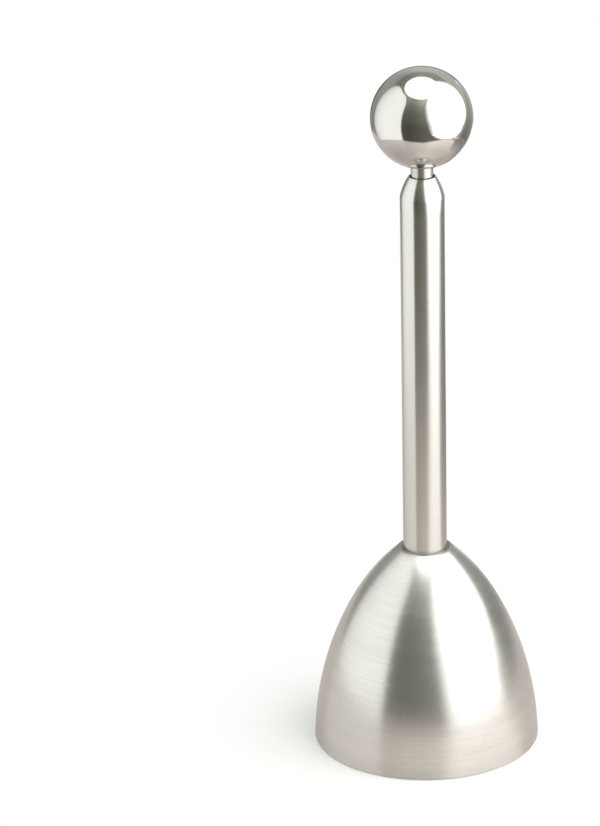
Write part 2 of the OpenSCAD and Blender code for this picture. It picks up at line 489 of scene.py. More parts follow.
@dataclass(frozen=True)
class Arc:
    """A circle in the plane of radius and height, in millimetres, with angles in degrees."""

    centre: Point
    radius: float

    def at_height(self, height: float) -> float:
        """Gives the angle at which the outer half passes a height."""
        return math.degrees(math.asin((height - self.centre[1]) / self.radius))

    def at_radius(self, radius: float) -> float:
        """Gives the angle at which the upper half passes a radius."""
        return math.degrees(math.acos((radius - self.centre[0]) / self.radius))

    def height(self, radius: float) -> float:
        """Gives the height of the upper half at a radius."""
        return self.centre[1] + math.sqrt(self.radius ** 2 - (radius - self.centre[0]) ** 2)

    def point(self, angle: float) -> Point:
        """Gives the point at an angle.

        Args:
            angle: the angle.

        Returns:
            The point's radius and height.
        """
        turn = math.radians(angle)
        return (self.centre[0] + self.radius * math.cos(turn),
                self.centre[1] + self.radius * math.sin(turn))

    def inside(self, wall: float) -> "Arc":
        """Gives the arc a wall's thickness further in."""
        return Arc(self.centre, self.radius - wall)


class Profile:
    """A half section in millimetres, drawn point by point as radius and height."""

    EASE_STEPS = 4
    SAME_POINT = 1e-4

    def __init__(self, radius: float, height: float) -> None:
        """Starts the section at a point."""
        self.points: list[Point] = [(radius, height)]

    def to(self, radius: float, height: float, ease: float = 0.0) -> "Profile":
        """Draws a straight line, and rounds the corner that it starts from.

        Args:
            radius: the end's radius.
            height: the end's height.
            ease: the size of the rounding at the line's start.

        Returns:
            The profile.
        """
        if ease and len(self.points) > 1:
            corner = Vector(self.points.pop())
            before = (Vector(self.points[-1]) - corner).normalized() * ease
            after = (Vector((radius, height)) - corner).normalized() * ease
            for i in range(self.EASE_STEPS + 1):
                t = i / self.EASE_STEPS
                self.points.append(tuple(corner + before * (1 - t) ** 2 + after * t ** 2))
        self.points.append((radius, height))
        return self

    def rows(self, height: float, step: float) -> "Profile":
        """Draws an upright line in short steps, for a thread.

        Args:
            height: the end's height.
            step: the longest step.

        Returns:
            The profile.
        """
        radius, start = self.points[-1]
        count = math.ceil(abs(height - start) / step)
        self.points += [(radius, start + (height - start) * i / count)
                        for i in range(1, count + 1)]
        return self

    def arc(self, arc: Arc, start: float, end: float, count: int) -> "Profile":
        """Draws a stretch of an arc.

        Args:
            arc: the arc.
            start: the angle that the stretch starts at.
            end: the angle that it ends at.
            count: the number of steps.

        Returns:
            The profile.
        """
        for i in range(count + 1):
            point = arc.point(start + (end - start) * i / count)
            if math.dist(point, self.points[-1]) > self.SAME_POINT:
                self.points.append(point)
        return self

    def closed(self) -> list[Vector]:
        """Closes the section unless both its ends lie on the axis.

        Returns:
            The points in metres, in the plane of X and Z.
        """
        points = list(self.points)
        if points[0][0] > 0 or points[-1][0] > 0:
            points.append(points[0])
        return [Vector((r, 0, z)) * MM for r, z in points]


def ring(inner: float, outer: float, low: float, high: float, ease: float) -> Profile:
    """Draws the section of a plain ring with eased edges.

    Args:
        inner: its inner radius.
        outer: its outer radius.
        low: the height of its lower face.
        high: the height of its upper face.
        ease: the size of the rounding of its edges.

    Returns:
        The profile.
    """
    middle = (inner + outer) / 2
    return (Profile(middle, low).to(outer, low).to(outer, high, ease).to(inner, high, ease)
            .to(inner, low, ease).to(middle, low, ease))


# ---------------------------------------------------------------------------------------------
# Finishes


class EffectGroups:
    """The shader groups that the finishes share, each built once.

    A band holds the values of a noise between which a mask rises from 0 to 1. A rate is the
    share of the grain's own rate at which a noise changes. An octave of the grain is its rate
    and weight, and a hair is its lean, turn and shift. A shift sets a noise apart from others.
    """

    OCTAVES = ((1.0, 0.5), (2.3, 0.3), (5.3, 0.2))
    LINE_RATES = (4.0, 0.9)
    LINE_BAND = (0.66, 0.8)
    STREAK_RATE = 0.11
    HAIRS = ((0.22, 0.0, 0.0), (-0.35, 0.6, 31.7), (0.9, -0.4, 57.3))
    HAIR_BAND = (0.71, 0.79)
    PATCH_SCALE = 110.0
    PATCH_BAND = (0.5, 0.62)
    SMUDGE_SHIFT = 1.3
    SMUDGE_BAND = (0.42, 0.72)
    SPECK_SHIFT = 4.1
    SPECK_BAND = (0.72, 0.8)

    def __init__(self) -> None:
        """Builds the groups."""
        self.grain = self._grain()
        self.hairlines = self._hairlines()
        self.marks = self._marks()

    @staticmethod
    def _start(name: str, inputs: dict[str, float], outputs: Sequence[str]
               ) -> tuple[TreeMaker, object, object]:
        """Starts a group that reads a place on the piece.

        Args:
            name: the group's name.
            inputs: its number inputs and their defaults.
            outputs: its outputs.

        Returns:
            The maker, the group's input sockets and its output node's sockets.
        """
        maker = TreeMaker(bpy.data.node_groups.new(name, "ShaderNodeTree"))
        maker.socket("Place", "Vector")
        for key, value in inputs.items():
            maker.socket(key, "Float", value)
        for key in outputs:
            maker.socket(key, "Float", is_output=True)
        return (maker, maker.add("NodeGroupInput").outputs,
                maker.add("NodeGroupOutput").inputs)

    @staticmethod
    def _drawn_out(maker: TreeMaker, place: object, around: object, along: object,
                   shift: float = 0.0, detail: float = 0.0) -> Socket:
        """Reads a seamless noise that is drawn out around the Z axis.

        Args:
            maker: the tree's maker.
            place: the place.
            around: how fast the noise changes around the axis.
            along: how fast it changes along the axis, and outwards.
            shift: what sets it apart from others like it.
            detail: its number of octaves.

        Returns:
            The noise.
        """
        x, y, z = maker.split(place)
        vector = maker.around(maker.math("ARCTAN2", y, x), around, maker.times(z, along))
        w = maker.times(maker.reach(place), along)
        return maker.noise(vector, maker.plus(w, shift) if shift else w, detail=detail)

    def _grain(self) -> bpy.types.NodeTree:
        """Builds the fine lines that a belt or a lathe leaves.

        Returns:
            The group, with the lines' height, a mask of single deeper lines and a broad streak.
        """
        maker, given, out = self._start("polishing_lines", {"Around": 1.0, "Along": 3000.0},
                                        ("Height", "Lines", "Streak"))
        place, around, along = given["Place"], given["Around"], given["Along"]
        parts = [maker.times(self._drawn_out(maker, place, around, maker.times(along, finer)),
                             weight) for finer, weight in self.OCTAVES]
        maker.feed(out["Height"], maker.plus(maker.plus(parts[0], parts[1]), parts[2]))
        lines = self._drawn_out(maker, place, *(maker.times(rate, share) for rate, share in zip(
            (around, along), self.LINE_RATES)))
        maker.feed(out["Lines"], maker.spread(lines, *self.LINE_BAND))
        maker.feed(out["Streak"], self._drawn_out(maker, place, around,
                                                  maker.times(along, self.STREAK_RATE),
                                                  detail=1.0))
        return maker.tree

    def _hairlines(self) -> bpy.types.NodeTree:
        """Builds sparse hairline scratches that cross the grain at a low angle.

        Returns:
            The group, with a mask of the scratches.
        """
        maker, given, out = self._start("hairline_scratches",
                                        {"Around": 7.0, "Along": 2500.0, "Amount": 0.5},
                                        ("Mask",))
        x, y, z = maker.split(given["Place"])
        masks = []
        for lean, turn, shift in self.HAIRS:
            tilt = maker.plus(maker.times(x, lean), maker.times(y, lean * turn))
            lines = self._drawn_out(maker, maker.join(x, y, maker.plus(z, tilt)),
                                    given["Around"], given["Along"], shift)
            patch = maker.noise(given["Place"], shift, self.PATCH_SCALE, detail=1.0)
            masks.append(maker.times(maker.spread(lines, *self.HAIR_BAND),
                                     maker.spread(patch, *self.PATCH_BAND)))
        every = maker.math("MAXIMUM", maker.math("MAXIMUM", masks[0], masks[1]), masks[2])
        maker.feed(out["Mask"], maker.times(every, given["Amount"]))
        return maker.tree

    def _marks(self) -> bpy.types.NodeTree:
        """Builds the faint marks that handling and dust leave on polished steel.

        Returns:
            The group, with a broad smudge and small specks.
        """
        maker, given, out = self._start("handling_marks", {"Smudge Scale": 90.0,
                                                           "Speck Scale": 1500.0},
                                        ("Smudge", "Speck"))
        smudge = maker.noise(given["Place"], self.SMUDGE_SHIFT, given["Smudge Scale"],
                             detail=4.0, roughness=0.6)
        maker.feed(out["Smudge"], maker.spread(smudge, *self.SMUDGE_BAND))
        speck = maker.noise(given["Place"], self.SPECK_SHIFT, given["Speck Scale"], detail=2.0)
        maker.feed(out["Speck"], maker.spread(speck, *self.SPECK_BAND))
        return maker.tree


# Around the tube's foot the colour is this share of itself, a painted shade, and the roughness
# this much higher, where a wheel can't reach. That fades out from this share of the corner's
# radius to its end.
CORNER_PAINTED_SHADE = 0.62
CORNER_ROUGHNESS = 0.15
CORNER_START = 0.72
# What a full scratch adds to the roughness, and its depth as a share of the grain's height.
HAIR_ROUGHNESS = 0.2
HAIR_DEPTH = 0.15
# How far the grain moves the colour to its lighter end, and a scratch to its darker one.
COLOR_SHARES = {"Height": 0.6, "Streak": 0.4, "Hairs": 0.8}


@dataclass(frozen=True)
class MetalFinish:
    """A metal's colour and polish, and the grain, scratches and marks on it.

    The grain is grain_height metres high, and the colour varies with it by up to twice shade
    either way. Streak, lines, smudge and speck are the spans by which each of them moves the
    roughness, and scratches is the strength of the hairlines. Where corner_r is set, the polish
    is rougher within that many millimetres of the axis, where a wheel can't reach, and the colour
    there is darker as painted shade.
    """

    slot: str
    color: Color
    roughness: float
    grain: Grain
    metallic: float = 1.0
    anisotropy: float = 0.0
    turned: float = 0.25
    grain_height: float = 0.0
    lines: float = 0.0
    streak: float = 0.0
    shade: float = 0.03
    scratches: float = 0.0
    smudge: float = 0.0
    speck: float = 0.0
    corner_r: float = 0.0

    def material(self, groups: EffectGroups) -> bpy.types.Material:
        """Builds the finish as a material.

        Args:
            groups: the shared shader groups.

        Returns:
            The material.
        """
        made = bpy.data.materials.new(self.slot)
        maker = TreeMaker.fresh(made)
        place = maker.add("ShaderNodeTexCoord").outputs["Object"]
        around, along = self.grain.value
        grain = maker.add("ShaderNodeGroup", {"Place": place, "Around": around, "Along": along},
                          node_tree=groups.grain).outputs
        hairs = maker.add("ShaderNodeGroup", {"Place": place, "Amount": self.scratches},
                          node_tree=groups.hairlines).outputs["Mask"]
        marks = maker.add("ShaderNodeGroup", {"Place": place}, node_tree=groups.marks).outputs
        color, rough = self._color(maker, grain, hairs), self.roughness
        for effect, share in ((maker.minus(grain["Streak"], 0.5), self.streak),
                              (grain["Lines"], self.lines), (marks["Smudge"], self.smudge),
                              (marks["Speck"], self.speck), (hairs, HAIR_ROUGHNESS)):
            rough = maker.math("MULTIPLY_ADD", effect, share, rough)
        if self.corner_r:
            # Painted shade: around the tube's foot the colour darkens, and the roughness rises
            # there too.
            end = self.corner_r * MM
            dulling_and_painted_shade = maker.spread(maker.reach(place), end * CORNER_START, end, 1.0, 0.0)
            color = self._mix(maker, dulling_and_painted_shade, color, tuple(c * CORNER_PAINTED_SHADE for c in self.color))
            rough = maker.math("MULTIPLY_ADD", dulling_and_painted_shade, CORNER_ROUGHNESS, rough)
        bump = maker.add("ShaderNodeBump", {
            "Strength": 1.0, "Distance": self.grain_height,
            "Height": maker.minus(grain["Height"], maker.times(hairs, HAIR_DEPTH))})
        shader = maker.add("ShaderNodeBsdfPrincipled", {
            "Base Color": color, "Roughness": rough, "Metallic": self.metallic,
            "Anisotropic": self.anisotropy, "Anisotropic Rotation": self.turned,
            "Normal": bump})
        if self.anisotropy:
            maker.feed(shader.inputs["Tangent"], maker.add(
                "ShaderNodeTangent", direction_type="RADIAL", axis="Z"))
        maker.add("ShaderNodeOutputMaterial", {"Surface": shader})
        return made

    def _color(self, maker: TreeMaker, grain: bpy.types.NodeOutputs, hairs: Socket) -> Socket:
        """Varies the metal's colour a little with the grain and darkens the scratches.

        Args:
            maker: the material's maker.
            grain: the outputs of its grain.
            hairs: the mask of its scratches.

        Returns:
            The colour.
        """
        streak = maker.times(grain["Streak"], COLOR_SHARES["Streak"])
        lines = maker.math("MULTIPLY_ADD", grain["Height"], COLOR_SHARES["Height"], streak)
        share = maker.minus(lines, maker.times(hairs, COLOR_SHARES["Hairs"]))
        darker, lighter = (tuple(min(c * value, 1.0) for c in self.color)
                           for value in (1 - 2 * self.shade, 1 + 2 * self.shade))
        return self._mix(maker, share, (*darker, 1.0), lighter)

    @staticmethod
    def _mix(maker: TreeMaker, share: object, first: object, second: Color) -> Socket:
        """Mixes two colours.

        Args:
            maker: the material's maker.
            share: the share of the second.
            first: the first colour, or its socket.
            second: the second colour.

        Returns:
            The mixed colour.
        """
        return maker.add("ShaderNodeMix", {"A": first, "B": (*second, 1.0), "Factor": share},
                         data_type="RGBA").outputs["Result"]


FINISHES = (
    MetalFinish("ball_steel", (0.67, 0.65, 0.62), 0.085, Grain.POLISHED, grain_height=1e-8,
                shade=0.008, streak=0.01, smudge=0.03, speck=0.15),
    MetalFinish("rod_steel", (0.58, 0.55, 0.51), 0.32, Grain.TURNED, metallic=0.95,
                anisotropy=0.4, grain_height=1e-6, streak=0.05, shade=0.06, lines=0.1),
    MetalFinish("tube_steel", (0.66, 0.64, 0.61), 0.23, Grain.FINE, anisotropy=0.8,
                grain_height=1.5e-7, streak=0.03, shade=0.012, smudge=0.02),
    # The bell's corner_r paints shade around the tube's foot by darkening its colour there.
    MetalFinish("bell_steel", (0.66, 0.64, 0.61), 0.235, Grain.BRUSHED, metallic=0.93,
                anisotropy=0.25, grain_height=9e-7, streak=0.05, shade=0.075, lines=0.028,
                scratches=0.05, smudge=0.03, corner_r=5.8),
    MetalFinish("bush_brass", (0.72, 0.56, 0.27), 0.22, Grain.TURNED, anisotropy=0.4,
                grain_height=1e-6, streak=0.1),
    MetalFinish("spring_wire", (0.38, 0.38, 0.39), 0.3, Grain.POLISHED, grain_height=6e-7,
                streak=0.1),
    MetalFinish("turned_steel", (0.52, 0.52, 0.53), 0.26, Grain.TURNED, anisotropy=0.5,
                grain_height=1.5e-6, streak=0.12, lines=0.1),
    MetalFinish("washer_steel", (0.66, 0.66, 0.66), 0.28, Grain.POLISHED, grain_height=5e-7,
                streak=0.1, scratches=0.3),
    MetalFinish("screw_steel", (0.68, 0.68, 0.68), 0.16, Grain.POLISHED, grain_height=4e-7,
                streak=0.06, smudge=0.05),
)


class Workshop:
    """What every sub-assembly builds with: the shape trees and the finished materials."""

    def __init__(self) -> None:
        """Builds the trees, the shared shader groups and the materials."""
        self.lathe = LatheTree()
        self.coil = CoilTree()
        groups = EffectGroups()
        self.materials = {finish.slot: finish.material(groups) for finish in FINISHES}

    def turn(self, name: str, profile: Profile, slot: str, segments: int,
             **lengths: float) -> Shape:
        """Turns a profile into a piece.

        Args:
            name: the piece's name.
            profile: its half section.
            slot: the slot of its finish.
            segments: the number of steps around it.
            **lengths: further inputs of the lathe tree, in millimetres.

        Returns:
            The piece.
        """
        return self.lathe.run(name, profile.closed(), self.materials[slot], Segments=segments,
                              **{key: value * MM for key, value in lengths.items()})

    def add(self, name: str, profile: Profile, slot: str, body: Body, node: str,
            segments: int = 96, **lengths: float) -> None:
        """Turns a profile into a piece and fits it.

        Args:
            name: the piece's name.
            profile: its half section.
            slot: the slot of its finish.
            body: the body that it rides on.
            node: the CAD node that it stands for.
            segments: the number of steps around it.
            **lengths: further inputs of the lathe tree, in millimetres.
        """
        self.fit(self.turn(name, profile, slot, segments, **lengths), body, node, slot)

    @staticmethod
    def fit(piece: Shape, body: Body, node: str, slot: str) -> None:
        """Puts a finished piece on its body in place of its CAD node.

        Args:
            piece: the piece.
            body: the body that it rides on.
            node: the CAD node that it stands for.
            slot: the slot of its finish; not used.
        """
        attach(piece, body.value)
        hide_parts(node)
        LOG.info("%s rides on %s for %s, %d faces", piece.name, body.value, node,
                 len(piece.data.polygons))


# ---------------------------------------------------------------------------------------------
# Sub-assemblies


@dataclass
class SubAssembly:
    """Pieces that are built together in one workshop."""

    shop: Workshop


@dataclass
class Bell(SubAssembly):
    """The bell with its rim, collar and socket, and the screw and washers that hold it."""

    rim_r: float = 20.8
    wall: float = 0.8
    rim_lean: float = 1.4
    side_arc_r: float = 58.6
    crown_lean: float = 28.6
    crown_arc_r: float = 40.0
    rim_land: float = 0.3
    rim_bevel: float = 1.2
    rim_break: float = 0.15
    socket_r: float = 4.01
    collar_w: float = 1.0
    collar_rise: float = 0.22
    collar_edge: float = 0.06
    collar_round_r: float = 0.6
    socket_depth: float = 0.8
    screw_hole_r: float = 1.6
    washer_r: float = 3.5
    washer_t: float = 0.5
    lock_r: float = 3.0
    lock_t: float = 0.8
    slit_w: float = 0.6
    slit_slant: float = 30.0
    screw_r: float = 1.5
    screw_len: float = 8.0
    screw_pitch: float = 0.5
    head_r: float = 2.8
    head_h: float = 2.2
    head_dome_r: float = 4.2
    recess_len: float = 3.0
    recess_w: float = 0.7
    recess_h: float = 1.3
    recess_over: float = 0.5
    recess_taper: float = 0.52
    recess_narrowing: float = 0.6
    thread_depth: float = 0.3
    thread_start: float = 0.5
    tip_chamfer: float = 0.4
    rim_ease: float = 0.1
    socket_ease: float = 0.04
    hole_ease: float = 0.06
    head_ease: float = 0.12
    washer_ease: float = 0.1
    lock_ease: float = 0.08
    lock_steps: int = 72
    side_steps: int = 56
    crown_steps: int = 30
    bead_steps: int = 14
    inner_crown_steps: int = 24
    inner_side_steps: int = 44
    head_steps: int = 18

    def __post_init__(self) -> None:
        """Works out the two arcs and the heights that follow from them."""
        lean, crown = math.radians(self.rim_lean), math.radians(self.crown_lean)
        step = self.side_arc_r - self.crown_arc_r
        side_c = (self.rim_r - self.side_arc_r * math.cos(lean),
                  -self.side_arc_r * math.sin(lean))
        crown_c = (side_c[0] + step * math.cos(crown), side_c[1] + step * math.sin(crown))
        self.side, self.crown = Arc(side_c, self.side_arc_r), Arc(crown_c, self.crown_arc_r)
        self.collar_r = self.socket_r + self.collar_w
        self.crown_z = self.crown.height(self.collar_r)
        self.seat_z = self.crown_z + self.collar_rise - self.socket_depth
        self.ceiling_z = self.seat_z - self.wall
        self.lock_z = self.ceiling_z - self.washer_t
        self.head_z = self.lock_z - self.lock_t

    def bell(self) -> None:
        """Builds the bell from one turned section."""
        land = self.rim_r - self.rim_break
        inner_side, inner_crown = self.side.inside(self.wall), self.crown.inside(self.wall)
        ceiling = inner_crown.at_height(self.ceiling_z)
        edge_z = self.crown_z + self.collar_edge
        inner_z = self.crown_z + self.collar_edge / 2
        drop = self.collar_round_r - self.collar_rise
        reach = math.sqrt(self.collar_round_r ** 2 - (drop + self.collar_edge) ** 2)
        bead = Arc((self.collar_r - reach, self.crown_z - drop), self.collar_round_r)
        section = Profile(land - self.rim_land / 2, 0).to(land, 0)
        section.arc(self.side, self.side.at_height(self.rim_break), self.crown_lean,
                    self.side_steps)
        section.arc(self.crown, self.crown_lean, self.crown.at_height(self.crown_z),
                    self.crown_steps)
        section.to(self.collar_r, edge_z)
        section.arc(bead, bead.at_height(edge_z), 180 - bead.at_height(inner_z),
                    self.bead_steps)
        section.to(self.socket_r, inner_z).to(self.socket_r, self.seat_z, self.socket_ease)
        section.to(self.screw_hole_r, self.seat_z)
        section.to(self.screw_hole_r, self.ceiling_z, self.hole_ease)
        section.to(inner_crown.point(ceiling)[0], self.ceiling_z, self.hole_ease)
        section.arc(inner_crown, ceiling, self.crown_lean, self.inner_crown_steps)
        section.arc(inner_side, self.crown_lean, inner_side.at_height(self.rim_bevel),
                    self.inner_side_steps)
        section.to(land - self.rim_land, 0, self.rim_ease)
        self.shop.add("spun_bell", section, "bell_steel", Body.HANDLE, "dome", 256)

    def split_washer(self) -> None:
        """Builds the lock washer as a section swept from one side of its slit to the other."""
        low, high, ease = self.head_z, self.head_z + self.lock_t, self.lock_ease
        inner, outer, steps = self.screw_hole_r, self.lock_r, self.lock_steps
        section = [(inner + ease, low), (outer - ease, low), (outer, low + ease),
                   (outer, high - ease), (outer - ease, high), (inner + ease, high),
                   (inner, high - ease), (inner, low + ease)]
        slant = math.radians(self.slit_slant)
        half = self.slit_w / 2 / math.cos(slant)
        points, count = [], len(section)
        for i in range(steps + 1):
            for radius, z in section:
                shift = -(z - (low + high) / 2) * math.tan(slant)
                first = math.asin((shift + half) / radius)
                last = math.tau + math.asin((shift - half) / radius)
                angle = first + (last - first) * i / steps
                points.append((radius * math.cos(angle), radius * math.sin(angle), z))
        caps = [tuple(range(count)), tuple(steps * count + k for k in reversed(range(count)))]
        washer = mesh_object("split_washer", points, wall_faces(steps, count) + caps,
                             self.shop.materials["spring_wire"])
        self.shop.fit(tidy_mesh(washer), Body.HANDLE, "lock_washer", "spring_wire")

    def screw(self) -> None:
        """Builds the screw with its rolled thread and cuts the cross recess into its head."""
        under, face = self.head_z, self.head_z - self.head_h
        head = Arc((0.0, face + self.head_dome_r), self.head_dome_r)
        tip = under + self.screw_len
        section = Profile(0, face)
        section.arc(head, -90, -head.at_radius(self.head_r), self.head_steps)
        section.to(self.head_r, under, self.head_ease)
        section.to(self.screw_r, under, self.head_ease)
        section.rows(tip - self.tip_chamfer, self.screw_pitch / THREAD_ROWS)
        section.to(self.screw_r - self.tip_chamfer, tip).to(0, tip)
        screw = self.shop.turn("cross_screw", section, "screw_steel", 64,
                               Thread_Radius=self.screw_r, Thread_Depth=self.thread_depth,
                               Pitch=self.screw_pitch, Thread_Above=under + self.thread_start)
        cutter = self._recess(face)
        cut = screw.modifiers.new("recess", "BOOLEAN")
        cut.operation, cut.solver, cut.object = "DIFFERENCE", "EXACT", cutter
        keep_result(screw, cut)
        bpy.data.objects.remove(cutter)
        self.shop.fit(screw, Body.HANDLE, "dome_screw", "screw_steel")

    def _recess(self, face: float) -> Shape:
        """Builds the tapered cross that cuts the recess.

        Args:
            face: the height of the lowest point of the head.

        Returns:
            The cutter.
        """
        points, count = [], 12
        for z, share in ((face - self.recess_over, 1.0), (face, 1.0),
                         (face + self.recess_h, self.recess_taper)):
            arm = self.recess_len / 2 * share
            half = self.recess_w / 2 * (1 - self.recess_narrowing * (1 - share))
            for turn in range(4):
                c, s = round(math.cos(turn * math.pi / 2)), round(math.sin(turn * math.pi / 2))
                points += [(c * x - s * y, s * x + c * y, z)
                           for x, y in ((arm, -half), (arm, half), (half, half))]
        caps = [tuple(reversed(range(count))), tuple(range(2 * count, 3 * count))]
        return mesh_object("recess_cutter", points, wall_faces(2, count) + caps,
                           self.shop.materials["screw_steel"])

    def build(self) -> None:
        """Builds the bell, its washers and its screw."""
        self.bell()
        washer = ring(self.screw_hole_r, self.washer_r, self.lock_z, self.ceiling_z,
                      self.washer_ease)
        self.shop.add("plain_washer", washer, "washer_steel", Body.HANDLE, "flat_washer")
        self.split_washer()
        self.screw()


@dataclass
class Handle(SubAssembly):
    """The tube handle with its drawn-in nose, the brass bush and the anvil plug."""

    foot_z: float
    tube_r: float = 4.0
    wall: float = 0.5
    length: float = 72.1
    nose_len: float = 3.75
    nose_lean: float = 13.0
    nose_arc_r: float = 12.0
    nose_hole_r: float = 2.3
    bush_len: float = 8.0
    bush_bore_r: float = 2.06
    bush_chamfer: float = 0.3
    press_gap: float = 0.01
    plug_len: float = 10.0
    plug_hole_r: float = 1.52
    plug_hole_h: float = 7.0
    plug_chamfer: float = 0.4
    foot_ease: float = 0.08
    tip_ease: float = 0.03
    plug_ease: float = 0.1
    foot_row: float = 2.0
    row: float = 3.0
    nose_steps: int = 24
    inner_nose_steps: int = 18

    def __post_init__(self) -> None:
        """Works out the nose's arcs and the heights that follow from them."""
        lean = math.radians(self.nose_lean)
        self.bore_r = self.tube_r - self.wall
        self.tip_z = self.foot_z + self.length
        self.shoulder_z = self.tip_z - self.nose_len
        self.nose = Arc((self.tube_r - self.nose_arc_r * math.cos(lean),
                         self.shoulder_z - self.nose_arc_r * math.sin(lean)), self.nose_arc_r)
        self.inner_nose = self.nose.inside(self.wall)
        self.bush_top = self.inner_nose.height(self.bore_r)
        self.bush_foot = self.bush_top - self.bush_len
        self.anvil_z = self.foot_z + self.plug_len

    def tube(self) -> None:
        """Builds the tube from one turned section."""
        middle = self.tube_r - self.wall / 2
        hole = self.inner_nose.at_radius(self.nose_hole_r)
        section = Profile(middle, self.foot_z).to(self.tube_r, self.foot_z)
        section.to(self.tube_r, self.foot_z + self.foot_row, self.foot_ease)
        section.rows(self.shoulder_z, self.row)
        section.arc(self.nose, self.nose_lean, self.nose.at_height(self.tip_z),
                    self.nose_steps)
        section.to(self.nose_hole_r, self.tip_z, self.tip_ease)
        section.to(self.nose_hole_r, self.inner_nose.point(hole)[1], self.tip_ease)
        section.arc(self.inner_nose, hole, self.inner_nose.at_radius(self.bore_r),
                    self.inner_nose_steps)
        section.to(self.bore_r, self.foot_z).to(middle, self.foot_z, self.foot_ease)
        self.shop.add("tube_handle", section, "tube_steel", Body.HANDLE, "handle_tube", 192)

    def bush(self) -> None:
        """Builds the brass bush with chamfered edges and mouths."""
        outer, inner, cut = self.bore_r - self.press_gap, self.bush_bore_r, self.bush_chamfer
        low, high = self.bush_foot, self.bush_top
        section = Profile((outer + inner) / 2, low).to(outer - cut, low).to(outer, low + cut)
        section.to(outer, high - cut).to(outer - cut, high).to(inner + cut, high)
        section.to(inner, high - cut).to(inner, low + cut).to(inner + cut, low)
        self.shop.add("brass_bush", section, "bush_brass", Body.HANDLE, "guide_bush")

    def plug(self) -> None:
        """Builds the anvil plug with its tapped hole."""
        outer, cut, hole = self.bore_r - self.press_gap, self.plug_chamfer, self.plug_hole_r
        bottom = self.foot_z + self.plug_hole_h
        section = Profile(0, bottom).to(hole, bottom).to(hole, self.foot_z)
        section.to(outer - cut, self.foot_z, self.plug_ease).to(outer, self.foot_z + cut)
        section.to(outer, self.anvil_z - cut).to(outer - cut, self.anvil_z).to(0, self.anvil_z)
        self.shop.add("anvil_slug", section, "turned_steel", Body.HANDLE, "anvil_plug")

    def build(self) -> None:
        """Builds the tube, the bush and the plug."""
        self.tube()
        self.bush()
        self.plug()


@dataclass
class Plunger(SubAssembly):
    """The ball, the rod and the striker, which move together."""

    nose_tip_z: float
    anvil_z: float
    ball_r: float = 9.125
    ball_hole_h: float = 8.0
    neck_len: float = 1.65
    rod_r: float = 2.0
    rod_chamfer: float = 0.4
    thread_gap: float = 0.02
    thread_pitch: float = 0.7
    thread_depth: float = 0.38
    striker_r: float = 3.4
    striker_len: float = 10.0
    striker_hole_h: float = 6.0
    striker_chamfer: float = 0.4
    drill_tip: float = 0.6
    neck_row: float = 4.0
    thread_end: float = 0.3
    thread_start: float = 0.6
    striker_ease: float = 0.08
    ball_steps: int = 150
    hole_ease: float = 0.1

    def __post_init__(self) -> None:
        """Works out the heights of the ball, the rod and the striker."""
        self.ball_z = self.nose_tip_z + self.neck_len + self.ball_r
        self.mouth_z = self.ball_z - math.sqrt(self.ball_r ** 2 - self.rod_r ** 2)
        self.rod_top = self.mouth_z + self.ball_hole_h
        self.striker_top = self.anvil_z + self.striker_len
        self.rod_foot = self.striker_top - self.striker_hole_h

    def ball(self) -> None:
        """Builds the ball with the blind tapped hole underneath."""
        hole, ball = self.rod_r + self.thread_gap, Arc((0.0, self.ball_z), self.ball_r)
        start = -ball.at_radius(hole)
        section = Profile(0, self.rod_top + self.drill_tip).to(hole, self.rod_top)
        section.to(hole, ball.point(start)[1]).arc(ball, start, 90, self.ball_steps)
        self.shop.add("polished_ball", section, "ball_steel", Body.PLUNGER, "ball_knob", 256)

    def rod(self) -> None:
        """Builds the rod with a thread at each end."""
        cut, step = self.rod_chamfer, self.thread_pitch / THREAD_ROWS
        section = Profile(0, self.rod_foot).to(self.rod_r - cut, self.rod_foot)
        section.to(self.rod_r, self.rod_foot + cut).rows(self.striker_top, step)
        section.rows(self.mouth_z, self.neck_row).rows(self.rod_top - cut, step)
        section.to(self.rod_r - cut, self.rod_top).to(0, self.rod_top)
        self.shop.add("neck_rod", section, "rod_steel", Body.PLUNGER, "pull_rod",
                      Thread_Radius=self.rod_r, Thread_Depth=self.thread_depth,
                      Pitch=self.thread_pitch, Thread_Below=self.striker_top - self.thread_end,
                      Thread_Above=self.mouth_z + self.thread_start)

    def striker(self) -> None:
        """Builds the striker with its tapped hole."""
        outer, cut, hole = self.striker_r, self.striker_chamfer, self.rod_r + self.thread_gap
        low, high = self.anvil_z, self.striker_top
        section = Profile(0, low).to(outer - cut, low).to(outer, low + cut, self.striker_ease)
        section.to(outer, high - cut).to(outer - cut, high).to(hole, high)
        section.to(hole, self.rod_foot, self.hole_ease).to(0, self.rod_foot)
        self.shop.add("striker_slug", section, "turned_steel", Body.PLUNGER, "striker")

    def build(self) -> None:
        """Builds the ball, the rod and the striker."""
        self.ball()
        self.rod()
        self.striker()


